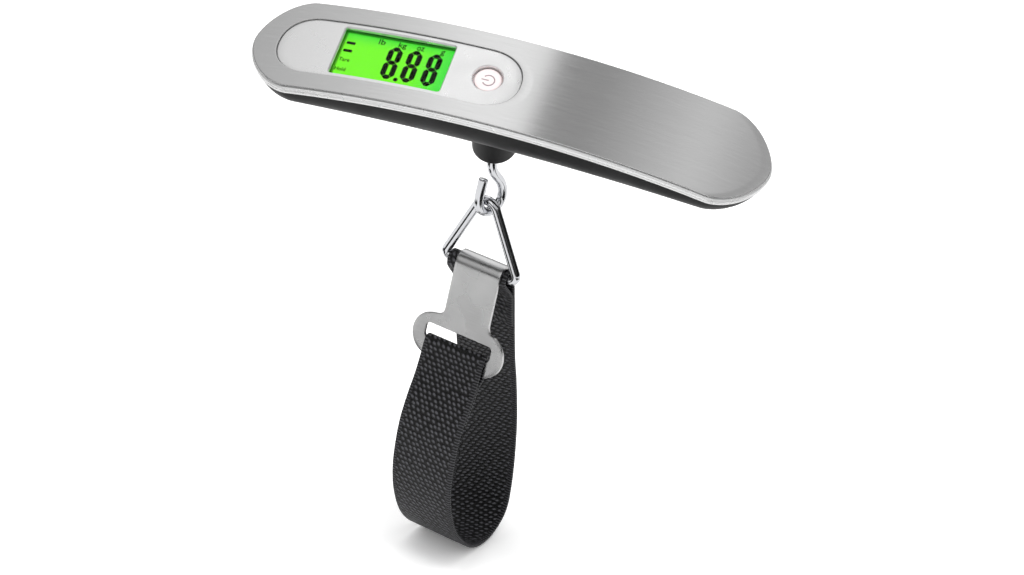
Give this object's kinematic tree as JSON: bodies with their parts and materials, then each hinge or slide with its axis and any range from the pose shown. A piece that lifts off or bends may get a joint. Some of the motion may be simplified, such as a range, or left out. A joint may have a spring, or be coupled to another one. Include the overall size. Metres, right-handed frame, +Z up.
{
  "type": "digital luggage scale",
  "caption": "Arched hand-held luggage scale with a backlit display and a button, a swivel hook under it, a triangle ring, a steel buckle and a loop of black webbing.",
  "frame": {"origin": "middle of the hand grip, 10 mm under the middle of the top plate, where a closed hand holds it", "axes": "+Z is up, against the load that hangs from the strap; +X runs along the grip, to the right of someone who reads the display from the -Y side; +Y points away from them"},
  "size_m": [0.1589, 0.0491, 0.1737],
  "materials": {
    "plate_steel": "brushed along the grip",
    "silver_frame": "metallised gloss",
    "panel_silver": "satin silver",
    "black_case": "satin",
    "dark_rubber": "matte",
    "clear_lens": "clear gloss",
    "display_green": "backlit",
    "frosted_guide": "frosted",
    "button_white": "satin",
    "board_green": "solder mask",
    "black_epoxy": "moulded epoxy",
    "beam_aluminium": "milled",
    "zinc_steel": "zinc plated",
    "chrome_wire": "polished",
    "buckle_steel": "satin nickel plated",
    "black_webbing": "woven",
    "cell_steel": "satin",
    "gauge_foil": "foil on film",
    "led_white": "frosted"
  },
  "bodies": {
    "housing": {"top_plate": "plate_steel", "rim_frame": "silver_frame", "display_bezel": "panel_silver", "display_lens": "clear_lens", "lcd_glass": "display_green", "light_guide": "frosted_guide", "zebra_strip_front": "dark_rubber", "zebra_strip_rear": "dark_rubber", "backlight_led_left": "led_white", "backlight_led_right": "led_white", "tact_switch": "black_epoxy", "circuit_board": "board_green", "controller_chip": "black_epoxy", "board_screw_1": "zinc_steel", "board_screw_2": "zinc_steel", "board_screw_3": "zinc_steel", "board_screw_4": "zinc_steel", "battery_holder": "black_case", "battery_contact_top": "zinc_steel", "battery_contact_side": "zinc_steel", "coin_cell": "cell_steel", "lower_case": "black_case", "case_screw_1": "zinc_steel", "case_screw_2": "zinc_steel", "case_screw_3": "zinc_steel", "case_screw_4": "zinc_steel", "load_cell_beam": "beam_aluminium", "strain_gauge": "gauge_foil", "load_cell_screw_1": "zinc_steel", "load_cell_screw_2": "zinc_steel", "load_cell_lead": "dark_rubber"},
    "door": {"battery_door": "black_case"},
    "button": {"button_cap": "button_white"},
    "swivel": {"swivel_yoke": "zinc_steel", "hook_pin": "zinc_steel", "stem_clip": "zinc_steel"},
    "hook": {"hook": "chrome_wire"},
    "ring": {"triangle_ring": "chrome_wire"},
    "strap": {"strap": "black_webbing"},
    "buckle": {"buckle": "buckle_steel"}
  },
  "joints": [
    {"name": "door_hinge", "type": "hinge", "parent": "housing", "child": "door", "pos_m": [-0.05193, 0.00552, -0.00713], "axis": [0.0256, 0.8721, 0.4887], "range_deg": [0, 75]},
    {"name": "button_press", "type": "slide", "parent": "housing", "child": "button", "axis": [-0.0226, 0.4893, -0.8718], "range_m": [0, 0.0004], "stiffness_N_per_m": 1000},
    {"name": "swivel_turn", "type": "hinge", "parent": "housing", "child": "swivel", "pos_m": [-0.00529, 0.00964, -0.01693], "axis": [0.0456, -0.4894, 0.8709], "continuous": true},
    {"name": "hook_swing", "type": "hinge", "parent": "swivel", "child": "hook", "pos_m": [-0.00529, 0.00964, -0.01693], "axis": [0.9986, 0, -0.0523], "range_deg": [-10, 40]},
    {"name": "ring_rock", "type": "hinge", "parent": "hook", "child": "ring", "pos_m": [-0.00529, 0.00964, -0.03783], "axis": [0.9472, -0.3206, 0], "range_deg": [-25, 25]},
    {"name": "strap_swing", "type": "hinge", "parent": "ring", "child": "strap", "pos_m": [-0.00529, 0.00964, -0.06068], "axis": [0.9472, -0.3206, 0], "range_deg": [-25, 25]},
    {"name": "buckle_swing", "type": "hinge", "parent": "ring", "child": "buckle", "pos_m": [-0.00529, 0.00964, -0.06068], "axis": [0.9472, -0.3206, 0], "range_deg": [-25, 25]}
  ],
  "couplings": [
    {"joint": "buckle_swing", "follows": "strap_swing", "ratio": 1}
  ]
}
